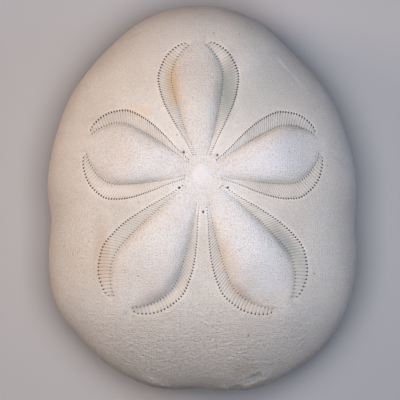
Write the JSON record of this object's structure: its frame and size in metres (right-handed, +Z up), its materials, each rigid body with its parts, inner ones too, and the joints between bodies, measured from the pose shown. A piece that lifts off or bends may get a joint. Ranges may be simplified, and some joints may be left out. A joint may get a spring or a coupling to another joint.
{
  "type": "sand dollar",
  "caption": "Thick, swollen sand dollar shell with a raised flower of petals edged by ribbed pore bands, and a hollow, grooved underside round a central mouth.",
  "frame": {"origin": "centre of the bounding box in plan, at the height of the flat resting rim", "axes": "+Y towards the animal's front, the narrow end with the single petal; +Z up, from the mouth side to the petal side; +X to the right seen from above with the front at the top"},
  "size_m": [0.1034, 0.1282, 0.0522],
  "materials": {
    "shell": "dry, matt, finely pimpled"
  },
  "bodies": {
    "root": {"sand_dollar_shell": "shell"}
  },
  "joints": []
}
